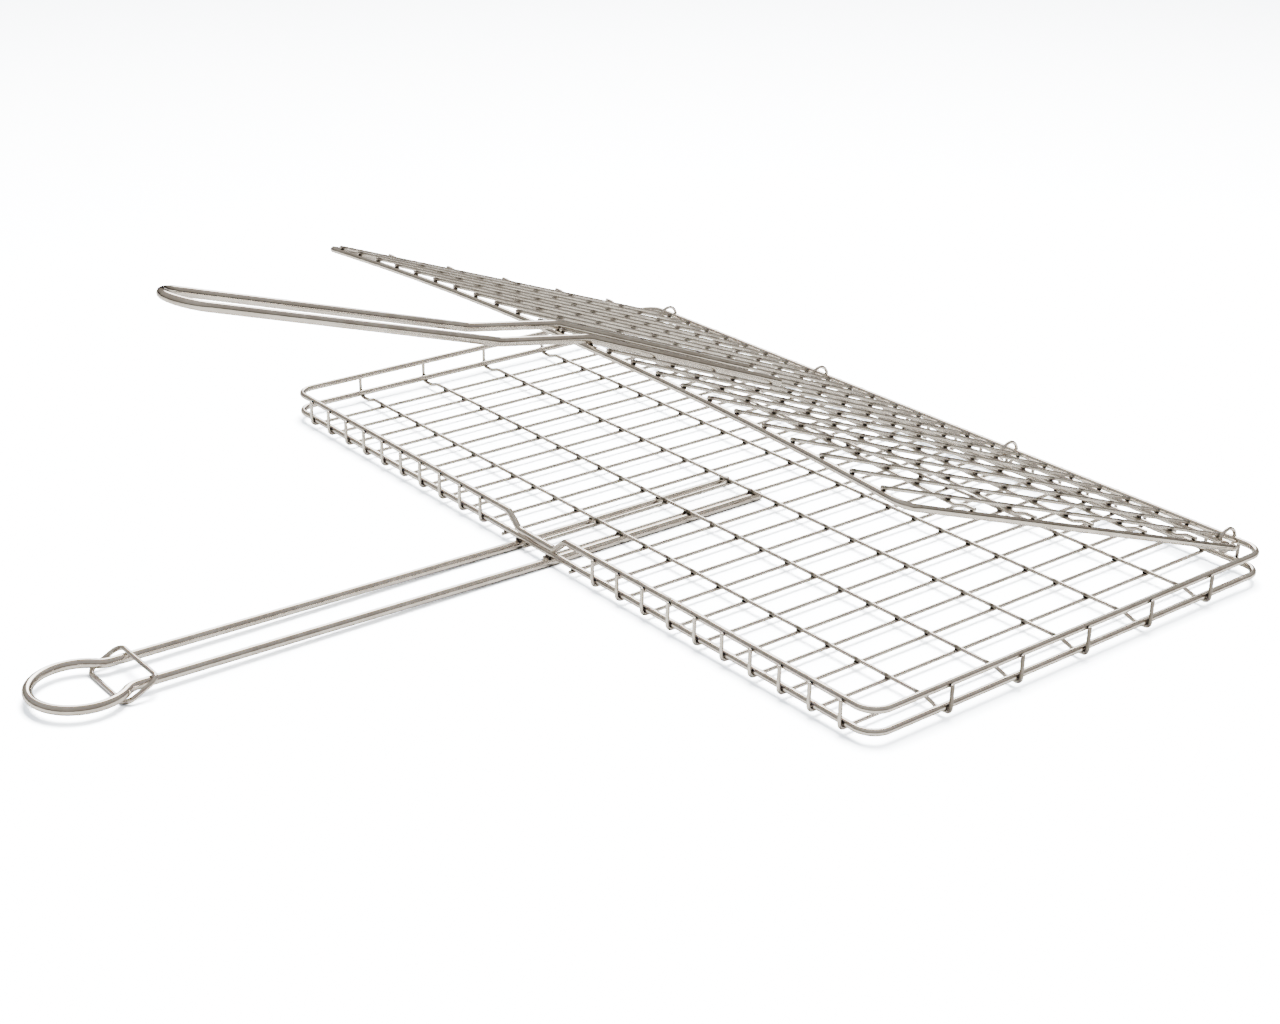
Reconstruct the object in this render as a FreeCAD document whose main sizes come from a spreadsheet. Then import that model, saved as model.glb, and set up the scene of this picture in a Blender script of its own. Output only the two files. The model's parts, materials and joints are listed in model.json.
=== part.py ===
"""Folding grill basket: a shallow wire basket, a wire lid on four ring hinges,
two bent-rod handles and a sliding ring clip.

The parts are named after what they are in the real grill. Millimetres, +Z up,
+Y from the grip towards the hinges, and the origin on the table in the middle
of the whole grill's outline.
"""
import math
import os

import FreeCAD
import Part
import Sketcher

Vector = FreeCAD.Vector
doc = FreeCAD.newDocument("GrillBasket")

# Driving dimensions: alias, value, what it is. Lengths in mm, angles in degrees.
DIMENSIONS = [
    ("rod_diameter", 4.5, "rod of both rims and of the lid frame"),
    ("wire_diameter", 2.5, "mesh wire and hinge rings"),
    ("handle_diameter", 6.0, "rod of both handles"),
    ("weld_gap", 0.04, "film left between two wires that are spot welded"),
    ("basket_centre_y", 171.65, "middle of the basket behind the origin"),
    ("basket_width", 625.0, "rim, centre to centre across"),
    ("basket_depth", 350.0, "rim, centre to centre front to back"),
    ("rim_corner_radius", 13.0, "rim corner, on the centre line"),
    ("rim_spacing", 14.0, "lower rim to upper rim"),
    ("mesh_pitch", 25.0, "between two cross wires of the basket"),
    ("mesh_offset", 3.5, "the whole row of cross wires sits this far to the right"),
    ("mesh_end_height", 0.25, "cross wire ends above the middle of the upper rim"),
    ("stub_length", 3.0, "cut wires stand out this far in front of the lower rim"),
    ("side_dip_start", 16.5, "long wire starts down this far inside the side rim"),
    ("side_dip_end", 8.5, "long wire has come down this far inside the side rim"),
    ("side_dip_bend", 4.0, "bends of that dip"),
    ("notch_offset", 1.5, "middle of the upper rim's notch, to the right"),
    ("notch_floor", 40.0, "width of the notch at the bottom"),
    ("notch_mouth", 63.0, "width of the notch at the top"),
    ("notch_bend", 7.0, "bends of the notch"),
    ("handle_spacing", 34.5, "between the two rods of a handle"),
    ("tail_length", 6.0, "basket handle past the middle long wire"),
    ("handle_rise", 0.92, "basket handle's slope beyond the front rim"),
    ("rise_bend", 80.0, "bend where that slope begins"),
    ("grip_reach", 345.4, "front rim to the tip of the grip"),
    ("eye_radius", 28.3, "round eye of the grip, on the centre line"),
    ("neck_radius", 11.0, "reverse bends at the neck of the grip"),
    ("clip_diameter", 3.0, "wire of the clip ring"),
    ("clip_width", 50.0, "clip ring, centre to centre across"),
    ("clip_height", 23.5, "clip ring, centre to centre the short way"),
    ("clip_corner", 6.0, "clip ring corner"),
    ("clip_lean", 63.5, "clip ring leans this far from upright"),
    ("clip_reach", 290.5, "front rim to the middle of the clip ring"),
    ("clip_centre_z", 7.06, "middle of the clip ring above the table"),
    ("hinge_gap", 8.4, "upper rim to the lid's rear rod, centre to centre"),
    ("hinge_angle", 6.0, "lid's rear rod sits this much lower, seen from the rim"),
    ("hinge_ring_radius", 8.0, "hinge ring, on the centre line"),
    ("inner_hinge_x", 99.0, "inner hinge rings from the middle"),
    ("outer_hinge_x", 286.95, "outer hinge rings from the middle"),
    ("lid_angle", 19.65, "how far the lid stands open"),
    ("lid_width", 600.0, "lid frame, centre to centre across"),
    ("lid_depth", 334.0, "lid frame, centre to centre front to back"),
    ("lid_corner_radius", 10.0, "lid frame corner, on the centre line"),
    ("lid_bow", 10.2, "front of the lid is bowed up this far in the middle"),
    ("bow_run", 275.0, "a bowed run is curved this far to each side of the middle"),
    ("lid_pitch", 24.5, "between two cross wires of the lid"),
    ("lid_wire_overhang", 1.6, "lid wires end this far past the middle of the frame rod"),
    ("lid_step_start", 12.5, "lid long wire starts up this far inside the side rod"),
    ("lid_step_end", 5.5, "lid long wire is up this far inside the side rod"),
    ("lid_step_bend", 4.0, "bends of that step"),
    ("lid_handle_start", 160.0, "lid handle starts this far from the lid's rear rod"),
    ("crank_start", 338.0, "lid handle starts down this far from the rear rod"),
    ("crank_end", 404.0, "lid handle has come down this far from the rear rod"),
    ("crank_depth", 8.6, "lid handle below the plane of its legs at the end of the crank"),
    ("crank_bend", 20.0, "bends of the crank"),
    ("lid_grip_reach", 620.0, "tip of the lid handle from the rear rod"),
    ("lid_grip_depth", 24.7, "tip of the lid handle below the plane of its legs"),
]
CROSS_WIRES = 24
LONG_WIRES = 5
STUB_WIRES = (11, 12, 13, 14)
MOVED_WIRE = 13

sheet = doc.addObject("Spreadsheet::Sheet", "Sizes")
for row, (alias, value, meaning) in enumerate(DIMENSIONS, start=1):
    sheet.set(f"A{row}", meaning)
    sheet.set(f"B{row}", str(value))
    sheet.setAlias(f"B{row}", alias)
doc.recompute()

# Levels and places that several parts share, as expressions over the sheet.
ROD = "Sizes.rod_diameter / 2"
WIRE = "Sizes.wire_diameter / 2"
TOUCH = "(Sizes.rod_diameter / 2 + Sizes.weld_gap + Sizes.wire_diameter / 2)"
FLOOR_Z = "(Sizes.handle_diameter + Sizes.weld_gap)"
LOWER_RIM_Z = f"({FLOOR_Z} + {ROD})"
UPPER_RIM_Z = f"({LOWER_RIM_Z} + Sizes.rim_spacing)"
FRONT_Y = "(Sizes.basket_centre_y - Sizes.basket_depth / 2)"
REAR_Y = "(Sizes.basket_centre_y + Sizes.basket_depth / 2)"
LID_ROD_Y = f"({REAR_Y} - Sizes.hinge_gap * cos(Sizes.hinge_angle))"
LID_ROD_Z = f"({UPPER_RIM_Z} - Sizes.hinge_gap * sin(Sizes.hinge_angle))"
LID_SIDE = "(Sizes.lid_width / 2)"
BOW_CORNER = f"(2 * Sizes.lid_bow * {LID_SIDE} / (2 * {LID_SIDE} - Sizes.bow_run))"

FLAT = FreeCAD.Rotation()
ACROSS = FreeCAD.Rotation(Vector(1, 0, 0), 90)
LENGTHWISE = FreeCAD.Rotation(Vector(1, 1, 1), 120)
FACING_X = FreeCAD.Rotation(Vector(0, 1, 0), 90)

nodes = []


def number(expression):
    """Value of an expression over the sheet."""
    return float(sheet.evalExpression(expression))


def named(part, label):
    """Gives a finished sub-part its label, which names its file."""
    part.Label = label
    nodes.append(part)
    return part


def bind(part, **expressions):
    """Binds properties to the sheet; a double underscore in a name stands for a dot."""
    for name, expression in expressions.items():
        part.setExpression(name.replace("__", "."), expression)


def corner_arc(before, corner, after, radius):
    """Start, middle and end of the arc that rounds one corner of a path."""
    arriving = (corner - before).normalize()
    leaving = (after - corner).normalize()
    half_turn = arriving.getAngle(leaving) / 2
    cut = radius * math.tan(half_turn)
    inward = (leaving - arriving).normalize()
    middle = corner + inward * (radius / math.cos(half_turn) - radius)
    return corner - arriving * cut, middle, corner + leaving * cut


def rounded_path(corners, bends):
    """Edges of a path in space: straight runs, with a tangent arc at each inner corner."""
    edges = []
    here = corners[0]
    for index, bend in enumerate(bends, start=1):
        start, middle, end = corner_arc(corners[index - 1], corners[index], corners[index + 1], bend)
        if here.distanceToPoint(start) > 1e-6:
            edges.append(Part.makeLine(here, start))
        edges.append(Part.Arc(start, middle, end).toShape())
        here = end
    if here.distanceToPoint(corners[-1]) > 1e-6:
        edges.append(Part.makeLine(here, corners[-1]))
    return edges


def path_sketch(name, turn, corners, bends):
    """Sketch of a bent wire's centre line.

    The construction lines join the corners, whose places are bound to the sheet. The
    runs lie on those lines, and an arc of the bound radius is tangent to both runs at
    each inner corner.
    """
    sketch = doc.addObject("Sketcher::SketchObject", name)
    sketch.Placement = FreeCAD.Placement(Vector(), turn)
    points = [Vector(number(across), number(up), 0) for across, up in corners]
    count = len(points) - 1
    arcs = []
    for index, bend in enumerate(bends, start=1):
        arcs.append(corner_arc(*points[index - 1:index + 2], number(bend)))
    starts = [points[0]] + [arc[2] for arc in arcs]
    ends = [arc[0] for arc in arcs] + [points[-1]]
    for index in range(count):
        sketch.addGeometry(Part.LineSegment(points[index], points[index + 1]), True)
    for start, end in zip(starts, ends):
        sketch.addGeometry(Part.LineSegment(start, end), False)
    # A sketch's arcs run anticlockwise, so one at a right-hand bend is drawn from its far end.
    turns_left = [(arc[1] - arc[0]).cross(arc[2] - arc[1]).z > 0 for arc in arcs]
    for arc, left in zip(arcs, turns_left):
        sketch.addGeometry(Part.Arc(*(arc if left else arc[::-1])), False)

    rules = [Sketcher.Constraint("Coincident", 0, 1, count, 1)]
    rules.append(Sketcher.Constraint("Coincident", count - 1, 2, 2 * count - 1, 2))
    for index, left in enumerate(turns_left):
        run = count + index
        curve = 2 * count + index
        begins = 1 if left else 2
        rules.append(Sketcher.Constraint("Coincident", index, 2, index + 1, 1))
        rules.append(Sketcher.Constraint("PointOnObject", run, 2, index))
        rules.append(Sketcher.Constraint("PointOnObject", run + 1, 1, index + 1))
        rules.append(Sketcher.Constraint("Tangent", run, 2, curve, begins))
        rules.append(Sketcher.Constraint("Tangent", run + 1, 1, curve, 3 - begins))
    sketch.addConstraint(rules)
    for index, (across, up) in enumerate(corners):
        line, end = (0, 1) if index == 0 else (index - 1, 2)
        for kind, expression in (("DistanceX", across), ("DistanceY", up)):
            rule = Sketcher.Constraint(kind, -1, 1, line, end, number(expression))
            sketch.setExpression(f"Constraints[{sketch.addConstraint(rule)}]", expression)
    for index, bend in enumerate(bends):
        rule = Sketcher.Constraint("Radius", 2 * count + index, number(bend))
        sketch.setExpression(f"Constraints[{sketch.addConstraint(rule)}]", bend)
    doc.recompute()
    return sketch


def section(name, diameter, turn, place):
    """Round section of a wire, standing across the start of its path."""
    circle = doc.addObject("Part::Circle", name)
    circle.Placement = FreeCAD.Placement(Vector(), turn)
    bind(circle, Radius=f"{diameter} / 2")
    for axis, expression in zip("xyz", place):
        circle.setExpression(f"Placement.Base.{axis}", expression)
    return circle


def swept(label, profile, path):
    """Sub-part: a wire of the given section along a sketched centre line."""
    wire = doc.addObject("Part::Sweep", label)
    wire.Sections = [profile]
    wire.Spine = (path, [f"Edge{index + 1}" for index in range(len(path.Shape.Edges))])
    wire.Solid = True
    wire.Transition = "Transformed"
    return named(wire, label)


def tube(label, edges, diameter):
    """Sub-part: a round rod along a path in space, made from its edges."""
    first = edges[0]
    circle = Part.makeCircle(diameter / 2, first.valueAt(first.FirstParameter),
                             first.tangentAt(first.FirstParameter))
    rod = doc.addObject("Part::Feature", label)
    rod.Shape = Part.Wire(edges).makePipeShell([Part.Wire(circle)], True, False)
    return named(rod, label)


def put_on_lid(part, along="0"):
    """Carries a sub-part made in the lid's own plane to the lid's place."""
    part.Placement = FreeCAD.Placement(Vector(), FreeCAD.Rotation(Vector(-1, 0, 0), 10))
    bind(part,
         Placement__Rotation__Angle="Sizes.lid_angle",
         Placement__Base__y=f"{LID_ROD_Y} - ({along}) * cos(Sizes.lid_angle)",
         Placement__Base__z=f"{LID_ROD_Z} + ({along}) * sin(Sizes.lid_angle)")


def rounded_frame(label, width, depth, corner, diameter):
    """Sub-part: a closed rectangular frame of round rod, lying flat with its middle at the origin."""
    right = f"{width} / 2"
    rear = f"{depth} / 2"
    corners = [("0", rear), (right, rear), (right, f"-{rear}"), (f"-{right}", f"-{rear}"),
               (f"-{right}", rear), ("0", rear)]
    path = path_sketch(label + "_path", FLAT, corners, [corner] * 4)
    profile = section(label + "_section", diameter, FACING_X, ("0", rear, "0"))
    return swept(label, profile, path)


# ---- Basket ----

def make_lower_rim():
    """Closed rod round the floor of the basket."""
    rim = rounded_frame("lower_rim", "Sizes.basket_width", "Sizes.basket_depth",
                        "Sizes.rim_corner_radius", "Sizes.rod_diameter")
    bind(rim, Placement__Base__y="Sizes.basket_centre_y", Placement__Base__z=LOWER_RIM_Z)


def make_upper_rim():
    """Closed rod round the top, with a notch in front that drops it onto the lower rim."""
    right = number("Sizes.basket_width / 2")
    front = number(FRONT_Y)
    rear = number(REAR_Y)
    high = number(UPPER_RIM_Z)
    low = number(f"{LOWER_RIM_Z} + Sizes.rod_diameter + Sizes.weld_gap")
    middle = number("Sizes.notch_offset")
    mouth = number("Sizes.notch_mouth / 2")
    floor = number("Sizes.notch_floor / 2")
    corners = [
        Vector(0, rear, high),
        Vector(right, rear, high),
        Vector(right, front, high),
        Vector(middle + mouth, front, high),
        Vector(middle + floor, front, low),
        Vector(middle - floor, front, low),
        Vector(middle - mouth, front, high),
        Vector(-right, front, high),
        Vector(-right, rear, high),
        Vector(0, rear, high),
    ]
    corner = number("Sizes.rim_corner_radius")
    bends = [corner] * 2 + [number("Sizes.notch_bend")] * 4 + [corner] * 2
    tube("upper_rim", rounded_path(corners, bends), number("Sizes.rod_diameter"))


def cross_wire_family(name, front_corners, front_bends):
    """Section and path of a basket cross wire, from its rear end to its front end."""
    outside = f"({REAR_Y} + {TOUCH})"
    floor = f"({FLOOR_Z} - {WIRE} - Sizes.weld_gap)"
    top = f"({UPPER_RIM_Z} + Sizes.mesh_end_height)"
    corners = [(outside, top), (outside, floor)] + [(y, z or floor) for y, z in front_corners]
    path = path_sketch(name + "_path", LENGTHWISE, corners, [TOUCH] + front_bends)
    return section(name + "_section", "Sizes.wire_diameter", FLAT, ("0", outside, top)), path


def make_basket_cross_wires():
    """Mesh wires from front to back: under the floor and up the outside of both rims."""
    outside = f"({FRONT_Y} - {TOUCH})"
    top = f"({UPPER_RIM_Z} + Sizes.mesh_end_height)"
    whole = cross_wire_family("cross_wire", [(outside, None), (outside, top)], [TOUCH])
    stub = cross_wire_family("stub_wire", [(f"({FRONT_Y} - Sizes.stub_length)", None)], [])
    beside_handle = f"Sizes.handle_spacing / 2 - Sizes.handle_diameter / 2 - {WIRE} - Sizes.weld_gap"
    for index in range(1, CROSS_WIRES + 1):
        profile, path = stub if index in STUB_WIRES else whole
        wire = swept(f"basket_cross_wire_{index:02d}", profile, path)
        steps = index - (CROSS_WIRES + 1) / 2
        place = f"Sizes.mesh_offset + {steps} * Sizes.mesh_pitch"
        bind(wire, Placement__Base__x=beside_handle if index == MOVED_WIRE else place)


def make_basket_long_wires():
    """Mesh wires from side to side: on top of the cross wires, then under and round the rims."""
    side = "Sizes.basket_width / 2"
    outside = f"({side} + {TOUCH})"
    top = f"({UPPER_RIM_Z} + Sizes.mesh_end_height)"
    above = f"({FLOOR_Z} + {WIRE})"
    below = f"({FLOOR_Z} - {WIRE} - Sizes.weld_gap)"
    half = [(outside, top), (outside, below), (f"({side} - Sizes.side_dip_end)", below),
            (f"({side} - Sizes.side_dip_start)", above)]
    corners = [(f"-{x}", z) for x, z in half] + half[::-1]
    dips = ["Sizes.side_dip_bend"] * 2
    path = path_sketch("long_wire_path", ACROSS, corners, [TOUCH] + dips + dips + [TOUCH])
    profile = section("long_wire_section", "Sizes.wire_diameter", FLAT, (f"-{outside}", "0", top))
    for index in range(1, LONG_WIRES + 1):
        wire = swept(f"basket_long_wire_{index}", profile, path)
        steps = index - (LONG_WIRES + 1) / 2
        spacing = f"Sizes.basket_depth / {LONG_WIRES + 1}"
        bind(wire, Placement__Base__y=f"Sizes.basket_centre_y + {steps} * {spacing}")


def make_basket_handle():
    """One rod: two parallel legs welded under the floor, and a round eye for a grip."""
    leg = number("Sizes.handle_spacing / 2")
    level = number("Sizes.handle_diameter / 2")
    front = number(FRONT_Y)
    start = number("Sizes.basket_centre_y + Sizes.tail_length")
    slope = math.radians(number("Sizes.handle_rise"))
    eye = number("Sizes.eye_radius")
    neck = number("Sizes.neck_radius")
    centre = number("Sizes.grip_reach") - eye
    # The neck's bend touches the eye where their centres are both radii apart.
    neck_start = centre - math.sqrt((eye + neck) ** 2 - (leg + neck) ** 2)
    touch = eye / (eye + neck)
    swing = math.atan2(centre - neck_start, leg + neck) / 2

    def sloped(across, reach):
        return Vector(across, front - reach * math.cos(slope), level + reach * math.sin(slope))

    def half(sign):
        corners = [Vector(sign * leg, start, level), sloped(sign * leg, 0), sloped(sign * leg, neck_start)]
        legs = rounded_path(corners, [number("Sizes.rise_bend")])
        bend_middle = sloped(sign * (leg + neck - neck * math.cos(swing)), neck_start + neck * math.sin(swing))
        bend_end = sloped(sign * (leg + neck) * touch, centre - (centre - neck_start) * touch)
        bend = Part.Arc(corners[-1], bend_middle, bend_end).toShape()
        return legs + [bend], bend_end

    left, left_end = half(-1)
    right, right_end = half(1)
    loop = Part.Arc(left_end, sloped(0, centre + eye), right_end).toShape()
    path = Part.Wire(Part.__sortEdges__(left + [loop] + right))
    tube("basket_handle", path.OrderedEdges, number("Sizes.handle_diameter"))


def make_clip_ring():
    """Closed wire loop round both legs of the basket handle; it slides to hold the lid's handle."""
    ring = rounded_frame("clip_ring", "Sizes.clip_width", "Sizes.clip_height",
                         "Sizes.clip_corner", "Sizes.clip_diameter")
    ring.Placement = FreeCAD.Placement(Vector(), FreeCAD.Rotation(Vector(1, 0, 0), 30))
    bind(ring,
         Placement__Rotation__Angle="90 - Sizes.clip_lean",
         Placement__Base__y=f"{FRONT_Y} - Sizes.clip_reach",
         Placement__Base__z="Sizes.clip_centre_z")


# ---- Hinges ----

def make_hinge_rings():
    """Four round rings, each looped round the upper rim and the lid's rear rod."""
    places = ("-Sizes.outer_hinge_x", "-Sizes.inner_hinge_x", "Sizes.inner_hinge_x", "Sizes.outer_hinge_x")
    for index, place in enumerate(places, start=1):
        ring = doc.addObject("Part::Torus", f"hinge_ring_{index}")
        ring.Placement = FreeCAD.Placement(Vector(), FACING_X)
        bind(ring,
             Radius1="Sizes.hinge_ring_radius",
             Radius2=WIRE,
             Placement__Base__x=place,
             Placement__Base__y=f"({REAR_Y} + {LID_ROD_Y}) / 2",
             Placement__Base__z=f"({UPPER_RIM_Z} + {LID_ROD_Z}) / 2")
        named(ring, f"hinge_ring_{index}")


# ---- Lid, made in its own plane with its rear rod on the X axis ----
#
# The front is bowed up. A bowed run follows two lines that meet at BOW_CORNER above the
# middle, rounded off there; further back on the lid it rises in proportion.

def make_lid_frame():
    """Closed rod round the lid, its front side bowed up in the middle."""
    side = number(LID_SIDE)
    front = -number("Sizes.lid_depth")
    rise = number(BOW_CORNER)
    corners = [
        Vector(0, 0, 0),
        Vector(side, 0, 0),
        Vector(side, front, 0),
        Vector(0, front, rise),
        Vector(-side, front, 0),
        Vector(-side, 0, 0),
        Vector(0, 0, 0),
    ]
    corner = number("Sizes.lid_corner_radius")
    bow = number(f"Sizes.bow_run * {LID_SIDE} / {BOW_CORNER}")
    edges = rounded_path(corners, [corner, corner, bow, corner, corner])
    put_on_lid(tube("lid_frame", edges, number("Sizes.rod_diameter")))


def make_lid_cross_wires():
    """Straight wires over the frame, two to a node, counted from the middle outwards."""
    for pair in range(1, CROSS_WIRES // 2 + 1):
        place = f"{pair - 0.5} * Sizes.lid_pitch"
        bow = f"{BOW_CORNER} * (1 - (Sizes.bow_run + ({place})^2 / Sizes.bow_run) / (2 * {LID_SIDE}))"
        wires = []
        for side in (-1, 1):
            wire = doc.addObject("Part::Cylinder", f"lid_wire_{pair}_{'left' if side < 0 else 'right'}")
            wire.Placement = FreeCAD.Placement(Vector(), ACROSS)
            bind(wire,
                 Radius=WIRE,
                 Height="Sizes.lid_depth + 2 * Sizes.lid_wire_overhang",
                 Placement__Rotation__Angle=f"90 deg - atan({bow} / Sizes.lid_depth)",
                 Placement__Base__x=f"{side} * {place}",
                 Placement__Base__y="Sizes.lid_wire_overhang",
                 Placement__Base__z=TOUCH)
            wires.append(wire)
        group = doc.addObject("Part::Compound", f"lid_cross_wires_{pair:02d}")
        group.Links = wires
        put_on_lid(named(group, f"lid_cross_wires_{pair:02d}"))


def make_lid_long_wires():
    """Bowed wires under the lid's cross wires that step up onto the side rods."""
    outer = f"({LID_SIDE} + Sizes.lid_wire_overhang)"
    profile = section("lid_long_wire_section", "Sizes.wire_diameter", FACING_X, (f"-{outer}", "0", TOUCH))
    for index in range(1, LONG_WIRES + 1):
        rows = LONG_WIRES + 1 - index
        rise = f"{BOW_CORNER} * {rows} / {LONG_WIRES + 1}"
        low = f"({ROD} - {WIRE} + {rise} * Sizes.lid_step_start / {LID_SIDE})"
        half = [(outer, TOUCH), (f"({LID_SIDE} - Sizes.lid_step_end)", TOUCH),
                (f"({LID_SIDE} - Sizes.lid_step_start)", low)]
        middle = ("0", f"({ROD} - {WIRE} + {rise})")
        corners = [(f"-{x}", z) for x, z in half] + [middle] + half[::-1]
        step = ["Sizes.lid_step_bend"] * 2
        bow = f"Sizes.bow_run * {LID_SIDE} / ({rise})"
        path = path_sketch(f"lid_long_wire_path_{index}", ACROSS, corners, step + [bow] + step)
        wire = swept(f"lid_long_wire_{index}", profile, path)
        put_on_lid(wire, f"{rows} * Sizes.lid_depth / {LONG_WIRES + 1}")


def make_lid_handle():
    """One rod on top of the lid: two legs, a crank down in front, and a round end.

    It lies along the middle of the lid, so it leans up with the bow.
    """
    leg = number("Sizes.handle_spacing / 2")
    top = number("Sizes.rod_diameter / 2 + Sizes.weld_gap + Sizes.handle_diameter / 2")
    tip = number("Sizes.lid_grip_reach")
    side = [
        (number("Sizes.lid_handle_start"), top),
        (number("Sizes.crank_start"), top),
        (number("Sizes.crank_end"), -number("Sizes.crank_depth")),
        (tip, -number("Sizes.lid_grip_depth")),
    ]
    lean = FreeCAD.Rotation(Vector(-1, 0, 0), number("atan(Sizes.lid_bow / Sizes.lid_depth)"))
    corners = [lean.multVec(Vector(-leg, -reach, height)) for reach, height in side]
    corners += [lean.multVec(Vector(leg, -reach, height)) for reach, height in reversed(side)]
    crank = [number("Sizes.crank_bend")] * 2
    edges = rounded_path(corners, crank + [leg, leg] + crank)
    handle = tube("lid_handle", edges, number("Sizes.handle_diameter"))
    put_on_lid(handle)


def check_and_export():
    """Stops on a failed object or a bad shape, then writes one STEP file for each sub-part."""
    doc.recompute()
    for item in doc.Objects:
        if "Invalid" in item.State or "Error" in item.State:
            raise RuntimeError(f"{item.Label} failed: {item.State}")
    labels = {part.Label for part in nodes}
    if len(labels) != len(nodes):
        raise RuntimeError("two sub-parts share a label")
    for part in nodes:
        if part.Shape.isNull() or not part.Shape.isValid() or part.Shape.Volume < 1:
            raise RuntimeError(f"{part.Label} has no valid shape")
    os.makedirs("parts", exist_ok=True)
    for part in nodes:
        part.Shape.exportStep(f"parts/{part.Label}.step")
        print(f"{part.Label}: {len(part.Shape.Solids)} solid(s), {part.Shape.Volume / 1000:.2f} cm3")


make_lower_rim()
make_upper_rim()
make_basket_cross_wires()
make_basket_long_wires()
make_basket_handle()
make_clip_ring()
make_hinge_rings()
make_lid_frame()
make_lid_cross_wires()
make_lid_long_wires()
make_lid_handle()
check_and_export()
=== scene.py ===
"""Folding grill basket in bright plated wire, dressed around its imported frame."""

import json
import logging
import math
import random
from dataclasses import dataclass, field
from enum import Enum
from typing import Iterable

import bmesh
import bpy
from mathutils import Matrix, Vector, noise

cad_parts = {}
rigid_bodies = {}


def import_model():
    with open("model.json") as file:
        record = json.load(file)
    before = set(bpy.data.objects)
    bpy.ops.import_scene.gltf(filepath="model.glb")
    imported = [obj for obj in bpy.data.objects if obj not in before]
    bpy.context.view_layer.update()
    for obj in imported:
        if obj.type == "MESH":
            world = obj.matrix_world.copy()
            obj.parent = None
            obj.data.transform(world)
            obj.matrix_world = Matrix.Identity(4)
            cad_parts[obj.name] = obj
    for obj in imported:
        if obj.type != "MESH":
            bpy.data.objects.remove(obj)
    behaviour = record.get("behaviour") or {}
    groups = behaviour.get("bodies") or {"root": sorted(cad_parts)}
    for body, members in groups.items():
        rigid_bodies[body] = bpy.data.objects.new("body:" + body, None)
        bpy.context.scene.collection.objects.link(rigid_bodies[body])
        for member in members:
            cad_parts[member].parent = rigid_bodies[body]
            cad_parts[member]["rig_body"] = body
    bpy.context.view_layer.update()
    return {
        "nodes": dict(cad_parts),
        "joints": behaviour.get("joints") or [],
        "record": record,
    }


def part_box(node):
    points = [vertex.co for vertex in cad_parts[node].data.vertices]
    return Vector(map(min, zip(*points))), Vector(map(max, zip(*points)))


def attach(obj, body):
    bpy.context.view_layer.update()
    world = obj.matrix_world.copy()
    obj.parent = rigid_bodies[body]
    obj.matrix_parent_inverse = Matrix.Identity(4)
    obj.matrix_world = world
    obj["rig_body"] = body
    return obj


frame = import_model()

LOG = logging.getLogger("grill_basket")
MM = 0.001
WIRE = 2.5 * MM
ROD = 4.5 * MM
HANDLE_ROD = 6.0 * MM
LEG = 17.25 * MM


class Slot(Enum):
    """The record's material slots."""

    FRAME = "frame_rod"
    MESH = "mesh_wire"
    HANDLE = "handle_rod"
    RING = "ring_wire"


class Body(Enum):
    """The record's bodies."""

    BASKET = "basket"
    LID = "lid"
    CLIP = "clip"


# ---- Shader node groups ----

def new_group(name: str, inputs: dict[str, float], outputs: Iterable[str]) -> bpy.types.NodeTree:
    """Starts a shader node group.

    Args:
        name: The group's name.
        inputs: Number sockets and their default values; "Vector" is added first.
        outputs: Names of the number sockets it puts out.

    Returns:
        The group, with nothing between its ends yet.
    """
    group = bpy.data.node_groups.new(name, "ShaderNodeTree")
    group.interface.new_socket("Vector", in_out="INPUT", socket_type="NodeSocketVector")
    for socket, value in inputs.items():
        made = group.interface.new_socket(socket, in_out="INPUT", socket_type="NodeSocketFloat")
        made.default_value = value
    for socket in outputs:
        group.interface.new_socket(socket, in_out="OUTPUT", socket_type="NodeSocketFloat")
    return group


class NodeMaker:
    """Adds linked nodes to one tree."""

    def __init__(self, tree: bpy.types.NodeTree) -> None:
        """Keeps the tree that the nodes go into."""
        self.tree = tree

    def add(self, kind: str, **settings: object) -> bpy.types.Node:
        """Adds one node.

        Args:
            kind: Blender's name of the node type.
            settings: Properties to set on it.

        Returns:
            The node.
        """
        node = self.tree.nodes.new(kind)
        for key, value in settings.items():
            setattr(node, key, value)
        return node

    def math(self, operation: str, first: object, second: object = None, clamp: bool = False) -> object:
        """Adds one Math node.

        Args:
            operation: The sum it does.
            first: A socket or a number.
            second: A socket or a number, where the sum needs one.
            clamp: Whether the result is kept between 0 and 1.

        Returns:
            Its output socket.
        """
        node = self.add("ShaderNodeMath", operation=operation, use_clamp=clamp)
        self.feed(node.inputs[0], first)
        if second is not None:
            self.feed(node.inputs[1], second)
        return node.outputs[0]

    def span(self, value: object, low: float, high: float, to_low: float, to_high: float) -> object:
        """Maps a value from one span to another, smoothly and clamped.

        Args:
            value: The socket to map.
            low: Start of its span.
            high: End of its span.
            to_low: What the start becomes.
            to_high: What the end becomes.

        Returns:
            The mapped output socket.
        """
        node = self.add("ShaderNodeMapRange", interpolation_type="SMOOTHSTEP")
        self.feed(node.inputs["Value"], value)
        ends = {"From Min": low, "From Max": high, "To Min": to_low, "To Max": to_high}
        for socket, number in ends.items():
            node.inputs[socket].default_value = number
        return node.outputs["Result"]

    def feed(self, socket: bpy.types.NodeSocket, value: object) -> None:
        """Links a socket to another, or sets its number.

        Args:
            socket: The input socket.
            value: An output socket, or a number.
        """
        if isinstance(value, bpy.types.NodeSocket):
            self.tree.links.new(value, socket)
        else:
            socket.default_value = value


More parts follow.
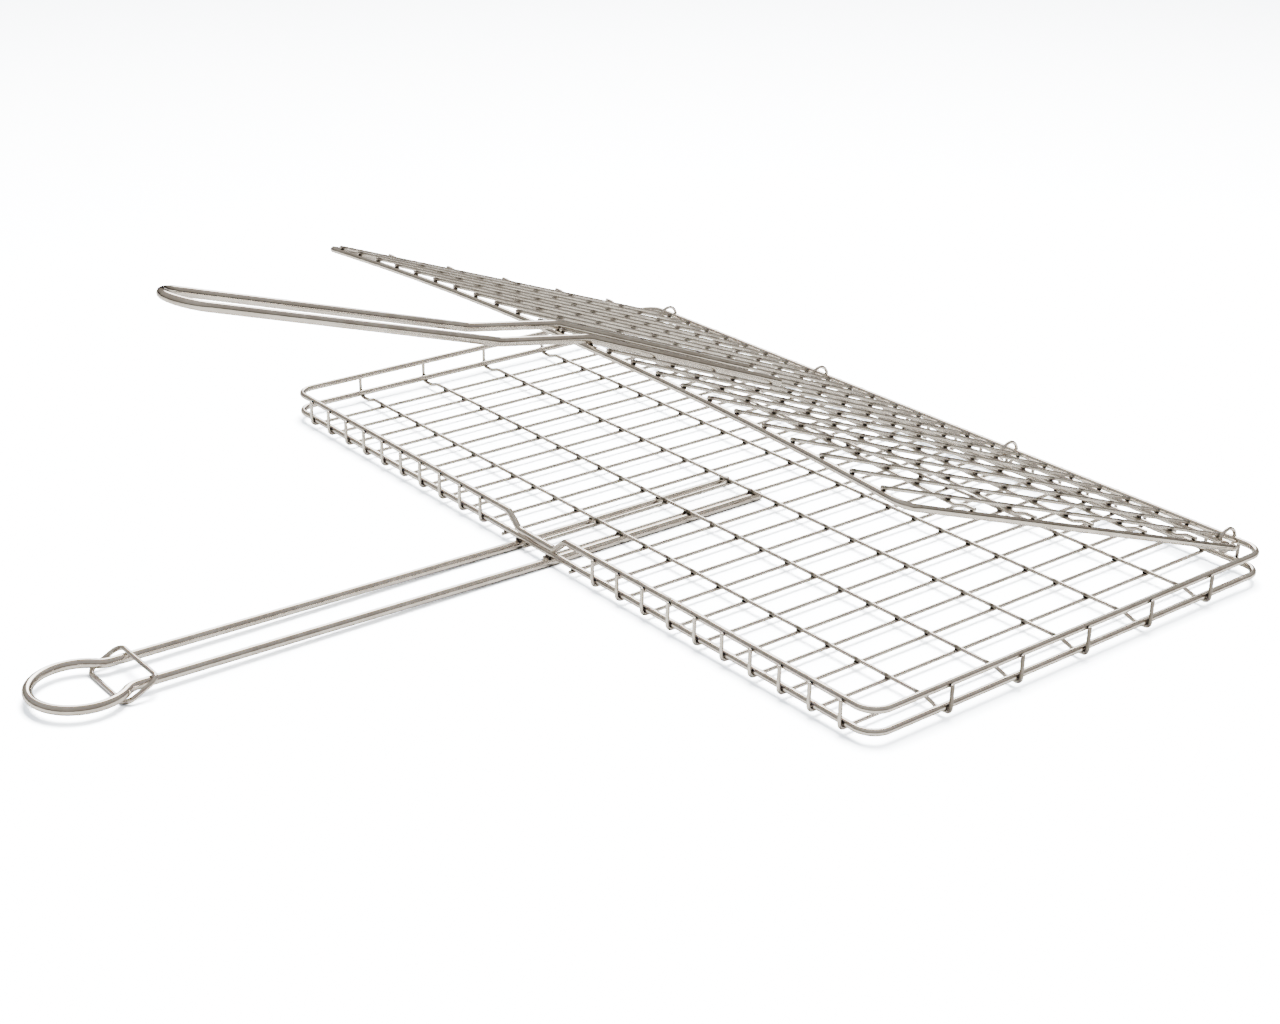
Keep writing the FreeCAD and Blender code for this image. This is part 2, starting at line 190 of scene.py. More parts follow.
def plated_surface_group() -> bpy.types.NodeTree:
    """Makes the group for bright plating: patchy tone, grainy gloss, and fine pits.

    Returns:
        The group.
    """
    scales = {"Patch Scale": 60.0, "Pit Scale": 900.0}
    group = new_group("PlatedSurface", scales, ("Tone", "Gloss", "Height"))
    make = NodeMaker(group)
    ends = make.add("NodeGroupInput"), make.add("NodeGroupOutput")
    patch = make.add("ShaderNodeTexNoise")
    patch.inputs["Detail"].default_value = 4.0
    make.feed(patch.inputs["Vector"], ends[0].outputs["Vector"])
    make.feed(patch.inputs["Scale"], ends[0].outputs["Patch Scale"])
    pits = make.add("ShaderNodeTexVoronoi")
    make.feed(pits.inputs["Vector"], ends[0].outputs["Vector"])
    make.feed(pits.inputs["Scale"], ends[0].outputs["Pit Scale"])
    grain = make.add("ShaderNodeTexNoise")
    grain.inputs["Detail"].default_value = 2.0
    make.feed(grain.inputs["Vector"], ends[0].outputs["Vector"])
    make.feed(grain.inputs["Scale"], make.math("MULTIPLY", ends[0].outputs["Pit Scale"], 0.6))
    pit = make.span(pits.outputs["Distance"], 0.0, 0.22, 0.0, 1.0)
    make.feed(ends[1].inputs["Tone"], make.span(patch.outputs["Fac"], 0.3, 0.7, 0.0, 1.0))
    make.feed(ends[1].inputs["Gloss"], make.span(grain.outputs["Fac"], 0.35, 0.7, 0.0, 1.0))
    fine = make.math("MULTIPLY", grain.outputs["Fac"], 0.6)
    make.feed(ends[1].inputs["Height"], make.math("ADD", pit, fine))
    return group


def weld_tint_and_shade_group() -> bpy.types.NodeTree:
    """Makes the group for the heat tint and painted shade round a mesh's welds: spots on a grid in the
    mesh's plane.

    Returns:
        The group.
    """
    sizes = {"Pitch X": 0.025, "Pitch Y": 0.058, "Offset X": 0.0, "Offset Y": 0.0, "Radius": 0.004}
    group = new_group("WeldTintAndShade", sizes, ("Mask",))
    make = NodeMaker(group)
    start, end = make.add("NodeGroupInput"), make.add("NodeGroupOutput")
    split = make.add("ShaderNodeSeparateXYZ")
    make.feed(split.inputs[0], start.outputs["Vector"])
    away = []
    for axis in "XY":
        shifted = make.math("SUBTRACT", split.outputs[axis], start.outputs[f"Offset {axis}"])
        steps = make.math("DIVIDE", shifted, start.outputs[f"Pitch {axis}"])
        nearest = make.math("SUBTRACT", steps, make.math("ROUND", steps))
        gap = make.math("MULTIPLY", nearest, start.outputs[f"Pitch {axis}"])
        away.append(make.math("MULTIPLY", gap, gap))
    distance = make.math("SQRT", make.math("ADD", *away))
    near = make.math("SUBTRACT", 1.0, make.math("DIVIDE", distance, start.outputs["Radius"]), clamp=True)
    make.feed(end.inputs["Mask"], make.math("POWER", near, 0.7))
    return group


@dataclass(frozen=True)
class WeldGrid:
    """Where a mesh's welds lie in its own plane, in metres."""

    pitch: tuple[float, float]
    offset: tuple[float, float]
    radius: float = 4 * MM
    tilt: float = 0.0
    origin: tuple[float, float, float] = (0.0, 0.0, 0.0)


@dataclass(frozen=True)
class PlatedSteel:
    """Bright plated steel: its clean colour, its duller patches, and the dark tint round its welds, which
    is heat tint and painted shade in the creases of the crossings.
    """

    name: str
    clean: tuple[float, float, float] = (0.74, 0.70, 0.645)
    dull: tuple[float, float, float] = (0.60, 0.555, 0.50)
    scorched_and_shaded: tuple[float, float, float] = (0.10, 0.08, 0.06)
    gloss: tuple[float, float] = (0.05, 0.12)
    bump: float = 0.02
    welds: WeldGrid | None = None

    def make(self, groups: dict[str, bpy.types.NodeTree]) -> bpy.types.Material:
        """Builds the material.

        Args:
            groups: The shared node groups by name.

        Returns:
            The material.
        """
        material = bpy.data.materials.new(self.name)
        material.use_nodes = True
        make = NodeMaker(material.node_tree)
        shader = material.node_tree.nodes["Principled BSDF"]
        shader.inputs["Metallic"].default_value = 1.0
        place = make.add("ShaderNodeTexCoord").outputs["Object"]

        surface = make.add("ShaderNodeGroup", node_tree=groups["PlatedSurface"])
        make.feed(surface.inputs["Vector"], place)
        tone = make.add("ShaderNodeMix", data_type="RGBA")
        make.feed(tone.inputs[0], surface.outputs["Tone"])
        tone.inputs[6].default_value = (*self.dull, 1.0)
        tone.inputs[7].default_value = (*self.clean, 1.0)
        colour = tone.outputs[2]
        roughness = make.span(surface.outputs["Gloss"], 0.0, 1.0, *self.gloss)
        # Darkens the steel round each crossing: heat tint, and painted shade for the crease where the wires
        # cross.
        if self.welds:
            mask = self.weld_tint_and_shade_mask(make, place, groups["WeldTintAndShade"])
            tint = make.add("ShaderNodeMix", data_type="RGBA")
            make.feed(tint.inputs[0], mask)
            make.feed(tint.inputs[6], colour)
            tint.inputs[7].default_value = (*self.scorched_and_shaded, 1.0)
            colour = tint.outputs[2]
            roughness = make.math("ADD", roughness, make.math("MULTIPLY", mask, 0.25))
        make.feed(shader.inputs["Base Color"], colour)
        make.feed(shader.inputs["Roughness"], roughness)
        bump = make.add("ShaderNodeBump")
        bump.inputs["Strength"].default_value = self.bump
        bump.inputs["Distance"].default_value = 0.1 * MM
        make.feed(bump.inputs["Height"], surface.outputs["Height"])
        make.feed(shader.inputs["Normal"], bump.outputs["Normal"])
        return material

    def weld_tint_and_shade_mask(self, make: NodeMaker, place: object, group: bpy.types.NodeTree) -> object:
        """Puts the weld grid in the mesh's plane.

        Args:
            make: Node maker of the material.
            place: Socket with the point in the row frame.
            group: The group for the weld tint and painted shade.

        Returns:
            The mask's socket.
        """
        grid = self.welds
        turned = make.add("ShaderNodeMapping", vector_type="TEXTURE")
        make.feed(turned.inputs["Vector"], place)
        turned.inputs["Location"].default_value = grid.origin
        turned.inputs["Rotation"].default_value = (grid.tilt, 0.0, 0.0)
        node = make.add("ShaderNodeGroup", node_tree=group)
        make.feed(node.inputs["Vector"], turned.outputs["Vector"])
        values = zip(("Pitch X", "Pitch Y", "Offset X", "Offset Y"), (*grid.pitch, *grid.offset))
        for socket, value in values:
            node.inputs[socket].default_value = value
        node.inputs["Radius"].default_value = grid.radius
        return node.outputs["Mask"]


@dataclass(frozen=True)
class WeldMetalAndShade:
    """Weld metal, lumpy and half dull, made near black as painted shade for the creases where wires cross
    and meet the rims.
    """

    name: str = "WeldMetalAndShade"
    # The near-black tone is painted shade: it stands for the shade and dark reflection in the creases round
    # each weld.
    hot: tuple[float, float, float] = (0.22, 0.19, 0.16)
    shaded_black: tuple[float, float, float] = (0.02, 0.017, 0.014)

    def make(self) -> bpy.types.Material:
        """Builds the material.

        Returns:
            The material.
        """
        material = bpy.data.materials.new(self.name)
        material.use_nodes = True
        make = NodeMaker(material.node_tree)
        shader = material.node_tree.nodes["Principled BSDF"]
        shader.inputs["Metallic"].default_value = 1.0
        lumps = make.add("ShaderNodeTexNoise")
        lumps.inputs["Scale"].default_value = 700.0
        lumps.inputs["Detail"].default_value = 5.0
        make.feed(lumps.inputs["Vector"], make.add("ShaderNodeTexCoord").outputs["Object"])
        mix = make.add("ShaderNodeMix", data_type="RGBA")
        make.feed(mix.inputs[0], make.span(lumps.outputs["Fac"], 0.48, 0.68, 0.0, 1.0))
        mix.inputs[6].default_value = (*self.shaded_black, 1.0)
        mix.inputs[7].default_value = (*self.hot, 1.0)
        make.feed(shader.inputs["Base Color"], mix.outputs[2])
        make.feed(shader.inputs["Roughness"], make.span(lumps.outputs["Fac"], 0.3, 0.7, 0.25, 0.5))
        bump = make.add("ShaderNodeBump")
        bump.inputs["Strength"].default_value = 0.5
        bump.inputs["Distance"].default_value = 0.2 * MM
        make.feed(bump.inputs["Height"], lumps.outputs["Fac"])
        make.feed(shader.inputs["Normal"], bump.outputs["Normal"])
        return material


# ---- Mesh helpers ----

def finish_piece(shape: bmesh.types.BMesh, name: str, body: Body,
                 material: bpy.types.Material) -> bpy.types.Object:
    """Turns a bmesh into a finished piece.

    Args:
        shape: The mesh, in the row frame and in metres.
        name: Name of the piece.
        body: The body it rides on.
        material: What it is made of.

    Returns:
        The piece.
    """
    mesh = bpy.data.meshes.new(name)
    bmesh.ops.recalc_face_normals(shape, faces=shape.faces)
    shape.to_mesh(mesh)
    shape.free()
    mesh.shade_smooth()
    mesh.materials.append(material)
    piece = bpy.data.objects.new(name, mesh)
    bpy.context.scene.collection.objects.link(piece)
    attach(piece, body.value)
    LOG.info("%s: %d faces on %s", name, len(mesh.polygons), body.value)
    return piece


def add_nugget(shape: bmesh.types.BMesh, centre: Vector, size: Vector, turn: Matrix) -> None:
    """Adds the squeezed-out metal of one spot weld.

    Args:
        shape: The mesh it goes into.
        centre: The middle of the contact.
        size: Half sizes along its own axes.
        turn: How it is turned.
    """
    matrix = Matrix.Translation(centre) @ turn.to_4x4() @ Matrix.Diagonal((*size, 1.0))
    bmesh.ops.create_uvsphere(shape, u_segments=8, v_segments=5, radius=1.0, matrix=matrix)


def add_dome(shape: bmesh.types.BMesh, centre: Vector, radius: float, turn: Matrix) -> None:
    """Adds the rounded end of a cut wire.

    Args:
        shape: The mesh it goes into.
        centre: The middle of the cut.
        radius: The wire's radius.
        turn: Turns the Z axis onto the wire.
    """
    size = (radius * 0.99, radius * 0.99, radius * 0.45, 1.0)
    matrix = Matrix.Translation(centre) @ turn.to_4x4() @ Matrix.Diagonal(size)
    bmesh.ops.create_uvsphere(shape, u_segments=10, v_segments=6, radius=1.0, matrix=matrix)


def add_bead(shape: bmesh.types.BMesh, centre: Vector, size: Vector, turn: Matrix,
             rng: random.Random) -> None:
    """Adds one lumpy bead of weld metal.

    Args:
        shape: The mesh it goes into.
        centre: Its middle.
        size: Half sizes along its own axes.
        turn: How it is turned.
        rng: Source of the lumps.
    """
    made = bmesh.ops.create_icosphere(shape, subdivisions=3, radius=1.0)["verts"]
    seed = Vector((rng.random(), rng.random(), rng.random())) * 50
    for vert in made:
        vert.co *= 1.0 + 0.28 * noise.noise(vert.co * 1.7 + seed)
    matrix = Matrix.Translation(centre) @ turn.to_4x4() @ Matrix.Diagonal((*size, 1.0))
    bmesh.ops.transform(shape, matrix=matrix, verts=made)


def middle(node: str) -> Vector:
    """Middle of a CAD node's box at rest."""
    low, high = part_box(node)
    return (Vector(low) + Vector(high)) / 2


# ---- Sub-assemblies ----

@dataclass
class Basket:
    """The basket: two rims, mesh wires and the welded handle."""

    cross_wires: int = 24
    long_wires: int = 5
    stubs: tuple[int, ...] = (11, 12, 13, 14)
    rim_nugget: float = 0.52 * WIRE
    upper_growth: float = 0.85
    # Grows the dark nuggets at the lower rim so they stand as painted shade between each wire's bend and
    # the rod.
    lower_shade_growth: float = 1.5
    front_bead: tuple[float, float, float] = (1.9 * MM, 1.3 * MM, 1.0 * MM)
    mesh_bead: tuple[float, float, float] = (2.1 * MM, 1.5 * MM, 0.75 * MM)
    seed: int = 11
    steels: dict[Slot, bpy.types.Material] = field(default_factory=dict)

    def columns(self) -> list[float]:
        """Returns the places of the cross wires from left to right."""
        return [middle(f"basket_cross_wire_{i:02d}").x for i in range(1, self.cross_wires + 1)]

    def rows(self) -> list[float]:
        """Returns the places of the long wires from front to back."""
        return [middle(f"basket_long_wire_{i}").y for i in range(1, self.long_wires + 1)]

    def contact_height(self) -> float:
        """Returns the height at which cross and long wires touch."""
        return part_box("basket_handle")[0][2] + HANDLE_ROD

    def dress(self) -> None:
        """Gives each CAD node of the basket its steel."""
        for name, node in frame["nodes"].items():
            if node["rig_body"] == Body.BASKET.value:
                dress_node(node, self.steels[slot_of(name)])

    def build(self, weld: bpy.types.Material) -> None:
        """Makes the welds.

        Args:
            weld: Material of the weld metal, made near black as painted shade.
        """
        rng = random.Random(self.seed)
        self.build_spots(weld, rng)
        self.build_rim_welds(weld, rng)
        self.build_handle_beads(weld, rng)
        self.build_wire_ends()

    def build_wire_ends(self) -> None:
        """Rounds off the cut ends of the mesh wires."""
        shape = bmesh.new()
        radius = WIRE / 2
        for index in range(1, self.cross_wires + 1):
            low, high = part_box(f"basket_cross_wire_{index:02d}")
            x = (low[0] + high[0]) / 2
            add_dome(shape, Vector((x, high[1] - radius, high[2])), radius, Matrix.Identity(3))
            if index in self.stubs:
                forward = Matrix.Rotation(math.pi / 2, 3, "X")
                add_dome(shape, Vector((x, low[1], low[2] + radius)), radius, forward)
            else:
                add_dome(shape, Vector((x, low[1] + radius, high[2])), radius, Matrix.Identity(3))
        for index in range(1, self.long_wires + 1):
            low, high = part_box(f"basket_long_wire_{index}")
            y = (low[1] + high[1]) / 2
            for x in (low[0] + radius, high[0] - radius):
                add_dome(shape, Vector((x, y, high[2])), radius, Matrix.Identity(3))
        finish_piece(shape, "basket_wire_ends", Body.BASKET, self.steels[Slot.FRAME])

    def build_spots(self, weld: bpy.types.Material, rng: random.Random) -> None:
        """Makes one nugget at each crossing of the floor mesh.

        Args:
            weld: Material of the weld metal, made near black as painted shade.
            rng: Source of the small differences between them.
        """
        shape = bmesh.new()
        height = self.contact_height()
        for x in self.columns():
            for y in self.rows():
                spread = rng.uniform(0.80, 0.98) * WIRE / 2
                turn = Matrix.Rotation(rng.uniform(0, math.tau), 3, "Z")
                size = Vector((spread * 1.75, spread * 1.6, spread * 0.75))
                add_nugget(shape, Vector((x, y, height)), size, turn)
        finish_piece(shape, "basket_spot_welds", Body.BASKET, weld)

    def build_rim_welds(self, weld: bpy.types.Material, rng: random.Random) -> None:
        """Makes the nuggets where the mesh wires touch the rims; those at the lower rim are grown as
        painted shade between each wire's bend and the rod.

        Args:
            weld: Material of the weld metal, made near black as painted shade.
            rng: Source of the small differences between them.
        """
        shape = bmesh.new()
        low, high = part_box("lower_rim")
        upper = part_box("upper_rim")[1][2] - ROD / 2
        lower = (low[2] + high[2]) / 2
        flat = self.rim_nugget
        for index, x in enumerate(self.columns(), start=1):
            for y, sign in ((high[1], 1), (low[1], -1)):
                cut = sign < 0 and index in self.stubs
                for z, grown in ([] if cut else [(upper, self.upper_growth), (lower, self.lower_shade_growth)]):
                    size = Vector((flat * 1.3, flat * 0.5, flat * rng.uniform(1.1, 1.3))) * grown
                    add_nugget(shape, Vector((x, y, z)), size, Matrix.Identity(3))
                size = Vector((flat * 1.3, flat * 1.3, flat * 0.5))
                add_nugget(shape, Vector((x, y - sign * ROD / 2, low[2])), size, Matrix.Identity(3))
        for y in self.rows():
            for x, sign in ((high[0], 1), (low[0], -1)):
                for z, grown in ((upper, self.upper_growth), (lower, self.lower_shade_growth)):
                    size = Vector((flat * 0.5, flat * 1.3, flat * rng.uniform(1.1, 1.3))) * grown
                    add_nugget(shape, Vector((x, y, z)), size, Matrix.Identity(3))
                size = Vector((flat * 1.3, flat * 1.3, flat * 0.5))
                add_nugget(shape, Vector((x - sign * ROD / 2, y, low[2])), size, Matrix.Identity(3))
        finish_piece(shape, "rim_spot_welds_and_shade", Body.BASKET, weld)

    def build_handle_beads(self, weld: bpy.types.Material, rng: random.Random) -> None:
        """Makes the beads that hold the handle's legs to the lower rim and the long wires.

        Args:
            weld: Material of the weld metal, made near black as painted shade.
            rng: Source of the lumps.
        """
        shape = bmesh.new()
        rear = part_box("basket_handle")[1][1]
        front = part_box("lower_rim")[0][1] + ROD / 2
        contact = self.contact_height()
        for sign in (-1, 1):
            for side in (-1, 1):
                x = sign * LEG + side * HANDLE_ROD * 0.22
                for step in (-1, 1):
                    centre = Vector((x, front + step * ROD * 0.33, contact + 0.1 * MM))
                    size = Vector(self.front_bead) * rng.uniform(0.85, 1.15)
                    add_bead(shape, centre, size, Matrix.Rotation(rng.uniform(-0.5, 0.5), 3, "Z"), rng)
            for y in self.rows():
                if y > rear or y < front:
                    continue
                centre = Vector((sign * LEG, y, contact))
                size = Vector(self.mesh_bead) * rng.uniform(0.85, 1.1)
                add_bead(shape, centre, size, Matrix.Rotation(rng.uniform(-0.4, 0.4), 3, "Z"), rng)
        finish_piece(shape, "basket_handle_weld_beads", Body.BASKET, weld)


@dataclass
class Lid:
    """The lid: frame, mesh wires and the welded handle, in the lid's own tilted plane."""

    angle: float = math.radians(19.65)
    bow: float = 10.2 * MM
    bow_run: float = 275 * MM
    overhang: float = 1.6 * MM
    depth: float = 334 * MM
    width: float = 600 * MM
    pitch: float = 24.5 * MM
    pairs: int = 12
    long_wires: int = 5
    handle_start: float = 160 * MM
    side_nugget: tuple[float, float, float] = (1.5 * MM, 1.5 * MM, 0.6 * MM)
    bead: tuple[float, float, float] = (2.2 * MM, 1.6 * MM, 0.8 * MM)
    hinge_gap: float = 8.4 * MM
    hinge_angle: float = math.radians(6.0)
    seed: int = 23
    steels: dict[Slot, bpy.types.Material] = field(default_factory=dict)

    def pivot(self) -> Vector:
        """Finds the middle of the lid's rear rod.

        Returns:
            The point in the row frame.
        """
        joint = next(j for j in frame["joints"] if j["child"] == Body.LID.value)
        gap = Vector((0.0, -math.cos(self.hinge_angle), -math.sin(self.hinge_angle))) * self.hinge_gap
        return Vector(joint["pos_m"]) + gap

    def turn(self) -> Matrix:
        """Returns the turn from the flat lid to the open one."""
        return Matrix.Rotation(-self.angle, 3, "X")

    def place(self, x: float, along: float, up: float) -> Vector:
        """Puts a point of the flat lid where it is at rest.

        Args:
            x: Across.
            along: Distance from the rear rod towards the front.
            up: Height above the frame's plane.

        Returns:
            The point in the row frame.
        """
        return self.pivot() + self.turn() @ Vector((x, -along, up))

    def bowed(self, x: float, along: float) -> float:
        """Says how far the lid is bowed up.

        Args:
            x: Across.
            along: Distance from the rear rod towards the front.

        Returns:
            The height above the plane of the side rods.
        """
        side = self.width / 2
        corner = 2 * self.bow * side / (2 * side - self.bow_run)
        return corner * (1 - (self.bow_run + x * x / self.bow_run) / (2 * side)) * along / self.depth

    def columns(self) -> list[float]:
        """Returns the places of the cross wires from left to right."""
        return [(i + 0.5) * self.pitch for i in range(-self.pairs, self.pairs)]

    def rows(self) -> list[float]:
        """Returns the distances of the long wires from the rear rod."""
        return [i * self.depth / (self.long_wires + 1) for i in range(1, self.long_wires + 1)]

    def dress(self) -> None:
        """Gives each CAD node of the lid its steel."""
        for name, node in frame["nodes"].items():
            if node["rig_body"] == Body.LID.value and slot_of(name) is not Slot.RING:
                dress_node(node, self.steels[slot_of(name)])

    def build(self, weld: bpy.types.Material) -> None:
        """Makes the welds.

        Args:
            weld: Material of the weld metal, made near black as painted shade.
        """
        rng = random.Random(self.seed)
        top = ROD / 2
        shape = bmesh.new()
        for x in self.columns():
            for along in (0.0, *self.rows(), self.depth):
                spread = rng.uniform(0.80, 0.98) * WIRE / 2
                size = Vector((spread * 1.6, spread * 1.6, spread * 0.7))
                add_nugget(shape, self.place(x, along, top + self.bowed(x, along)), size, self.turn())
        for along in self.rows():
            for x in (-self.width / 2, self.width / 2):
                add_nugget(shape, self.place(x, along, top), Vector(self.side_nugget), self.turn())
        finish_piece(shape, "lid_spot_welds", Body.LID, weld)

        beads = bmesh.new()
        for sign in (-1, 1):
            for along in (*self.rows(), self.depth):
                if along < self.handle_start:
                    continue
                turn = self.turn() @ Matrix.Rotation(rng.uniform(-0.4, 0.4), 3, "Z")
                size = Vector(self.bead) * rng.uniform(0.9, 1.15)
                centre = self.place(sign * LEG, along, top + self.bowed(0.0, along))
                add_bead(beads, centre, size, turn, rng)
        finish_piece(beads, "lid_handle_weld_beads", Body.LID, weld)
        self.build_wire_ends()

    def build_wire_ends(self) -> None:
        """Rounds off the cut ends of the mesh wires."""
        shape = bmesh.new()
        up = ROD / 2 + WIRE / 2
        for x in self.columns():
            for along in (-self.overhang, self.depth + self.overhang):
                end = self.place(x, along, up + self.bowed(x, max(along, 0.0)))
                add_dome(shape, end, WIRE / 2, self.turn() @ Matrix.Rotation(math.pi / 2, 3, "X"))
        for along in self.rows():
            for x in (-self.width / 2 - self.overhang, self.width / 2 + self.overhang):
                add_dome(shape, self.place(x, along, up), WIRE / 2, Matrix.Rotation(math.pi / 2, 3, "Y"))
        finish_piece(shape, "lid_wire_ends", Body.LID, self.steels[Slot.FRAME])


@dataclass
class Rings:
    """The hinge rings and the clip ring."""

    steels: dict[Slot, bpy.types.Material] = field(default_factory=dict)

    def dress(self) -> None:
        """Gives each ring its steel."""
        for name, node in frame["nodes"].items():
            if slot_of(name) is Slot.RING:
                dress_node(node, self.steels[Slot.RING])


def slot_of(name: str) -> Slot:
    """Returns the slot of a CAD node, as the record states it."""
    entry = next(part for part in frame["record"]["subparts"] if part["node"] == name)
    return Slot(entry["material_slot"])


def dress_node(node: bpy.types.Object, steel: bpy.types.Material) -> None:
    """Gives a CAD node its finish.

    Args:
        node: The CAD node's object.
        steel: Its material.
    """
    if not node.material_slots:
        node.data.materials.append(steel)
    for held in node.material_slots:
        held.material = steel


# ---- Studio ----

@dataclass(frozen=True)
class Studio:
    """Pale floor, soft light and the camera."""

    eye: tuple[float, float, float] = (0.97048, -0.69525, 0.55743)
    azimuth: float = math.radians(51.24)
    elevation: float = math.radians(23.79)
    roll: float = math.radians(0.79)
    lens: float = 56.24
    sensor: float = 36.0
    floor_glow: float = 2.2
    floor_mirrored: tuple[float, float, float] = (0.11, 0.107, 0.10)
    window_side: tuple[float, float, float] = (-0.62, 0.48, 0.62)
    wall_tones: tuple[tuple[float, tuple[float, float, float]], ...] = (
        (0.0, (0.012, 0.010, 0.008)),
        (0.07, (0.02, 0.016, 0.013)),
        (0.16, (0.28, 0.255, 0.225)),
        (0.45, (0.46, 0.43, 0.39)),
        (0.80, (0.54, 0.51, 0.47)),
        (1.0, (0.62, 0.58, 0.53)),
    )
    window_tone: tuple[float, float, float] = (10.0, 9.8, 9.6)
    window_edge: tuple[float, float] = (0.925, 0.965)
    white: float = 15.0

    def camera(self) -> None:
        """Adds the camera."""
        data = bpy.data.cameras.new("Camera")
        data.lens = self.lens
        data.sensor_width = self.sensor
        data.sensor_fit = "HORIZONTAL"
        data.clip_start = 0.01
        data.clip_end = 100.0
        camera = bpy.data.objects.new("Camera", data)
        turn = Matrix.Rotation(self.azimuth, 4, "Z") @ Matrix.Rotation(math.pi / 2 - self.elevation, 4, "X")
        camera.matrix_world = Matrix.Translation(self.eye) @ turn @ Matrix.Rotation(self.roll, 4, "Z")
        bpy.context.scene.collection.objects.link(camera)
        bpy.context.scene.camera = camera

    def floor(self) -> None:
        """Adds the pale floor, which is bluish in shadow and grey where steel mirrors it."""
        shape = bmesh.new()
        bmesh.ops.create_grid(shape, x_segments=1, y_segments=1, size=12.0)
        mesh = bpy.data.meshes.new("Floor")
        shape.to_mesh(mesh)
        shape.free()
        floor = bpy.data.objects.new("Floor", mesh)
        bpy.context.scene.collection.objects.link(floor)
        material = bpy.data.materials.new("PaleFloor")
        material.use_nodes = True
        make = NodeMaker(material.node_tree)
        shader = material.node_tree.nodes["Principled BSDF"]
        path = make.add("ShaderNodeLightPath")
        tone = make.add("ShaderNodeMix", data_type="RGBA")
        make.feed(tone.inputs[0], path.outputs["Is Glossy Ray"])
        tone.inputs[6].default_value = (0.93, 0.94, 0.95, 1.0)
        tone.inputs[7].default_value = (*self.floor_mirrored, 1.0)
        make.feed(shader.inputs["Base Color"], tone.outputs[2])
        shader.inputs["Roughness"].default_value = 0.9
        shader.inputs["Specular IOR Level"].default_value = 0.0
        shader.inputs["Emission Color"].default_value = (0.70, 0.84, 1.0, 1.0)
        # The floor glows for the camera only, bluish, and the glow fades by ambient occlusion near the
        # steel: painted contact shade.
        contact = make.add("ShaderNodeAmbientOcclusion", samples=8)
        contact.inputs["Distance"].default_value = 9 * MM
        open_floor = make.span(contact.outputs["AO"], 0.25, 1.0, 0.0, self.floor_glow)
        make.feed(shader.inputs["Emission Strength"],
                  make.math("MULTIPLY", open_floor, path.outputs["Is Camera Ray"]))
        mesh.materials.append(material)

    def light(self, name: str, place: Vector, size: float, power: float) -> None:
        """Adds one soft light that faces the grill.

        Args:
            name: Its name.
            place: Where it hangs, in metres.
            size: Its side.
            power: Its power in watts.
        """
        data = bpy.data.lights.new(name, "AREA")
        data.shape = "SQUARE"
        data.size = size
        data.energy = power
        lamp = bpy.data.objects.new(name, data)
        lamp.visible_glossy = False
        lamp.matrix_world = Matrix.Translation(place) @ place.to_track_quat("Z", "Y").to_matrix().to_4x4()
        bpy.context.scene.collection.objects.link(lamp)

    def world(self) -> None:
        """Fills the room with warm grey that darkens towards the horizon, and one bright window.

        Seen by the camera it is plain white; the steel mirrors the grey and the window.
        """
        world = bpy.data.worlds.new("Room")
        world.use_nodes = True
        bpy.context.scene.world = world
        make = NodeMaker(world.node_tree)
        back = world.node_tree.nodes["Background"]
        split = make.add("ShaderNodeSeparateXYZ")
        direction = make.add("ShaderNodeTexCoord").outputs["Generated"]
        make.feed(split.inputs[0], direction)
        ramp = make.add("ShaderNodeValToRGB")
        make.feed(ramp.inputs[0], split.outputs["Z"])
        stops = ramp.color_ramp.elements
        for stop, (position, colour) in zip(list(stops), (self.wall_tones[0], self.wall_tones[-1])):
            stop.position = position
            stop.color = (*colour, 1.0)
        for position, colour in self.wall_tones[1:-1]:
            stops.new(position).color = (*colour, 1.0)
        window = make.add("ShaderNodeVectorMath", operation="DOT_PRODUCT")
        make.feed(window.inputs[0], direction)
        window.inputs[1].default_value = Vector(self.window_side).normalized()
        lit = make.add("ShaderNodeMix", data_type="RGBA")
        make.feed(lit.inputs[0], make.span(window.outputs["Value"], *self.window_edge, 0.0, 1.0))
        make.feed(lit.inputs[6], ramp.outputs["Color"])
        lit.inputs[7].default_value = (*self.window_tone, 1.0)
        make.feed(back.inputs["Color"], lit.outputs[2])
        white = make.add("ShaderNodeBackground")
        white.inputs["Color"].default_value = (1.0, 1.0, 1.0, 1.0)
        white.inputs["Strength"].default_value = self.white
        mix = make.add("ShaderNodeMixShader")
        make.feed(mix.inputs[0], make.add("ShaderNodeLightPath").outputs["Is Camera Ray"])
        make.feed(mix.inputs[1], back.outputs[0])
        make.feed(mix.inputs[2], white.outputs[0])
        make.feed(world.node_tree.nodes["World Output"].inputs["Surface"], mix.outputs[0])

    def build(self) -> None:
        """Sets the studio up."""
        self.camera()
        self.floor()
        self.world()
        self.light("TopSoftbox", Vector((-0.1, 0.32, 2.6)), 1.2, 1150.0)
        self.light("SideSoftbox", Vector((1.4, 0.4, 2.0)), 1.2, 120.0)


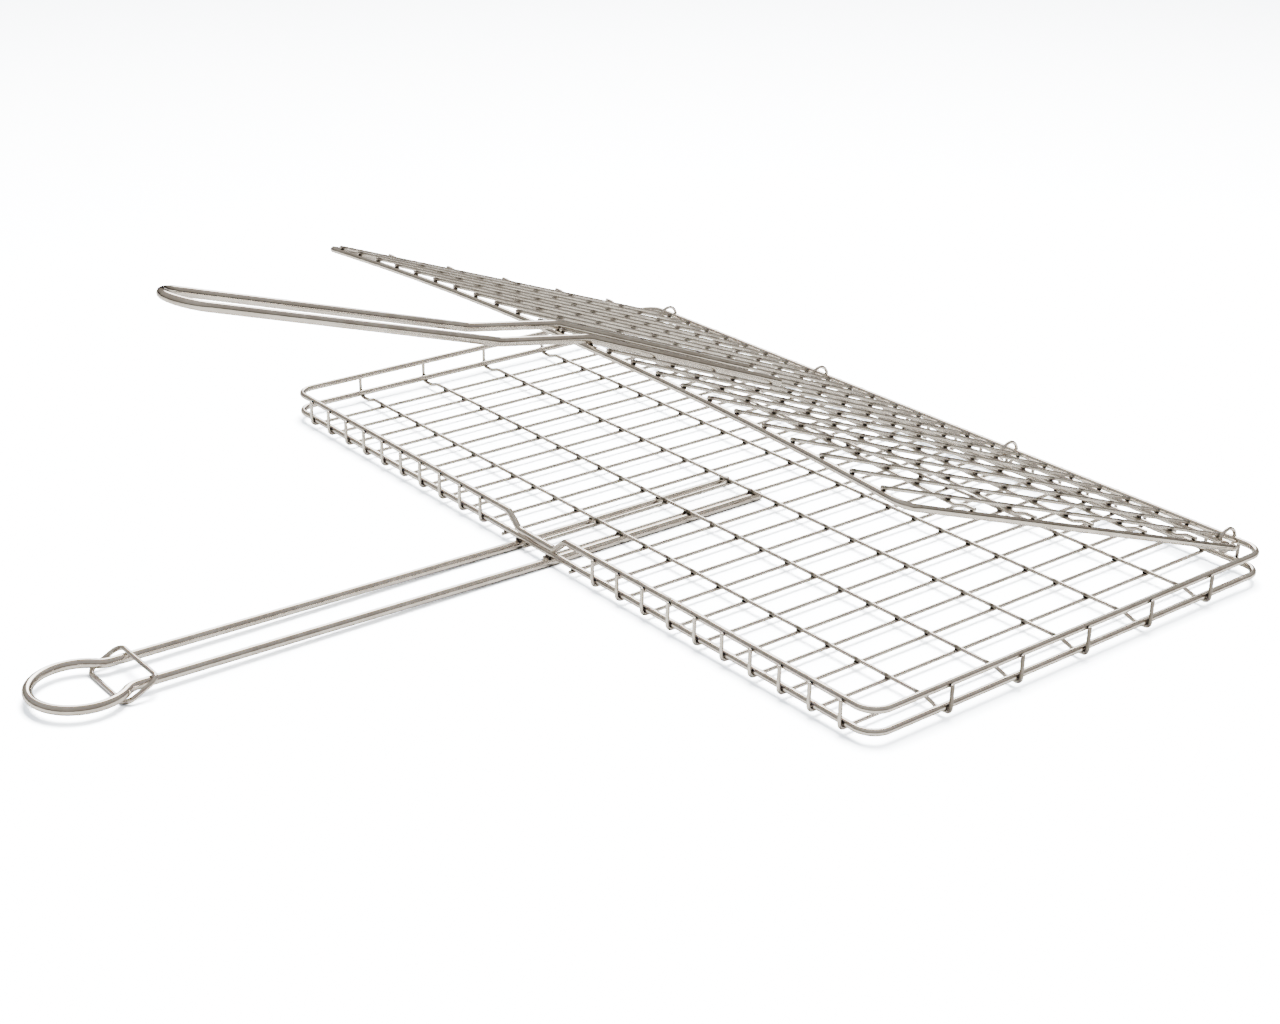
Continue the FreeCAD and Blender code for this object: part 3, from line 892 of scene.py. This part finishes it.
def main() -> None:
    """Dresses the frame and builds the welds and the studio."""
    logging.basicConfig(level=logging.INFO)
    groups = {"PlatedSurface": plated_surface_group(), "WeldTintAndShade": weld_tint_and_shade_group()}
    basket = Basket()
    lid = Lid()
    columns = basket.columns()
    rows = basket.rows()
    floor_grid = WeldGrid((columns[1] - columns[0], rows[1] - rows[0]), (columns[0], rows[0]))
    lid_grid = WeldGrid((lid.pitch, lid.depth / (lid.long_wires + 1)), (lid.pitch / 2, 0.0),
                        tilt=-lid.angle, origin=tuple(lid.pivot()))
    frame_steel = PlatedSteel("FrameRodSteel").make(groups)
    handle_steel = PlatedSteel("HandleRodSteel", gloss=(0.04, 0.10)).make(groups)
    ring_steel = PlatedSteel("RingWireSteel", gloss=(0.05, 0.12)).make(groups)
    drawn = {"gloss": (0.14, 0.24), "bump": 0.012}
    floor_steel = PlatedSteel("FloorMeshSteel", welds=floor_grid, **drawn).make(groups)
    lid_steel = PlatedSteel("LidMeshSteel", welds=lid_grid, **drawn).make(groups)
    rods = {Slot.FRAME: frame_steel, Slot.HANDLE: handle_steel}
    basket.steels = {**rods, Slot.MESH: floor_steel}
    lid.steels = {**rods, Slot.MESH: lid_steel}
    rings = Rings({Slot.RING: ring_steel})
    weld = WeldMetalAndShade().make()
    for assembly in (basket, lid, rings):
        assembly.dress()
    basket.build(weld)
    lid.build(weld)
    Studio().build()


if __name__ == "__main__":
    main()
